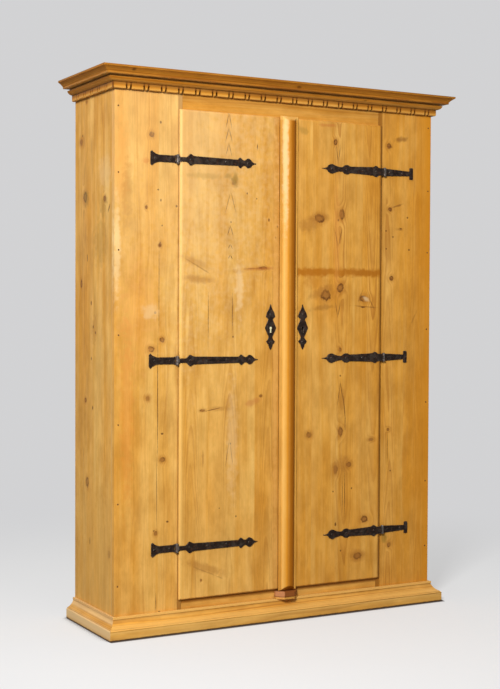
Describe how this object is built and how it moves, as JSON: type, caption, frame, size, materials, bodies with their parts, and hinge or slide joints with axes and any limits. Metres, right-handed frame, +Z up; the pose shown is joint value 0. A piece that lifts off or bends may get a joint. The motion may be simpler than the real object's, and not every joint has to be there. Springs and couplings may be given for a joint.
{
  "type": "cupboard",
  "caption": "Tall pine cupboard with double doors, dentil cornice, moulded plinth, round-faced closing strip, wrought-iron strap hinges, lock, slide bolts and shelves.",
  "frame": {"origin": "on the floor, under the middle of the overall box", "axes": "+X to the right of someone facing the doors, +Y from the front to the back, +Z up"},
  "size_m": [1.42, 0.419, 1.9],
  "materials": {
    "pine_carcass": "waxed stripped pine",
    "pine_doors": "waxed stripped pine",
    "pine_mouldings": "waxed pine, darkened",
    "pine_interior": "unfinished pine",
    "stained_pine": "stained pine",
    "wrought_iron": "blackened, hand worn",
    "brass": "dull brass"
  },
  "bodies": {
    "cupboard": {"back_board_1": "pine_interior", "back_board_2": "pine_interior", "back_board_3": "pine_interior", "back_board_4": "pine_interior", "bottom_board": "pine_interior", "bottom_rail": "pine_carcass", "cornice_front": "pine_mouldings", "cornice_left": "pine_mouldings", "cornice_right": "pine_mouldings", "dentil_front": "pine_mouldings", "dentil_left": "pine_mouldings", "dentil_right": "pine_mouldings", "foot_block": "stained_pine", "hinge_pins": "wrought_iron", "leaf_nails": "wrought_iron", "left_bottom_hinge_leaf": "wrought_iron", "left_middle_hinge_leaf": "wrought_iron", "left_side_panel": "pine_carcass", "left_stile": "pine_carcass", "left_top_hinge_leaf": "wrought_iron", "lower_shelf": "pine_interior", "middle_shelf": "pine_interior", "plinth_front": "pine_mouldings", "plinth_left": "pine_mouldings", "plinth_right": "pine_mouldings", "right_bottom_hinge_leaf": "wrought_iron", "right_middle_hinge_leaf": "wrought_iron", "right_side_panel": "pine_carcass", "right_stile": "pine_carcass", "right_top_hinge_leaf": "wrought_iron", "shelf_cleats": "pine_interior", "top_board": "pine_interior", "top_rail": "pine_carcass", "upper_shelf": "pine_interior"},
    "left_door": {"left_bottom_hinge_strap": "wrought_iron", "left_door_lower_batten": "pine_doors", "left_door_nails": "wrought_iron", "left_door_panel": "pine_doors", "left_door_upper_batten": "pine_doors", "left_escutcheon": "wrought_iron", "left_middle_hinge_strap": "wrought_iron", "left_top_hinge_strap": "wrought_iron", "keyhole_inlay": "brass", "lock_keeper": "wrought_iron", "slide_bolt_staples": "wrought_iron"},
    "right_door": {"right_bottom_hinge_strap": "wrought_iron", "right_door_lower_batten": "pine_doors", "right_door_nails": "wrought_iron", "right_door_panel": "pine_doors", "right_door_upper_batten": "pine_doors", "right_escutcheon": "wrought_iron", "right_middle_hinge_strap": "wrought_iron", "right_top_hinge_strap": "wrought_iron", "closing_strip": "pine_doors", "lock_case": "wrought_iron", "lock_spring": "wrought_iron", "key_pin": "wrought_iron"},
    "lock_bolt": {"lock_bolt": "wrought_iron"},
    "upper_slide_bolt": {"upper_slide_bolt": "wrought_iron"},
    "lower_slide_bolt": {"lower_slide_bolt": "wrought_iron"}
  },
  "joints": [
    {"name": "left_door_hinge", "type": "hinge", "parent": "cupboard", "child": "left_door", "pos_m": [-0.416, -0.1513, 0.925], "axis": [0, 0, -1], "range_deg": [0, 150]},
    {"name": "right_door_hinge", "type": "hinge", "parent": "cupboard", "child": "right_door", "pos_m": [0.431, -0.1513, 0.925], "axis": [0, 0, 1], "range_deg": [0, 150]},
    {"name": "lock_bolt_slide", "type": "slide", "parent": "right_door", "child": "lock_bolt", "axis": [-1, 0, 0], "range_m": [0, 0.02]},
    {"name": "upper_bolt_slide", "type": "slide", "parent": "left_door", "child": "upper_slide_bolt", "axis": [0, 0, 1], "range_m": [0, 0.02]},
    {"name": "lower_bolt_slide", "type": "slide", "parent": "left_door", "child": "lower_slide_bolt", "axis": [0, 0, -1], "range_m": [0, 0.02]}
  ]
}
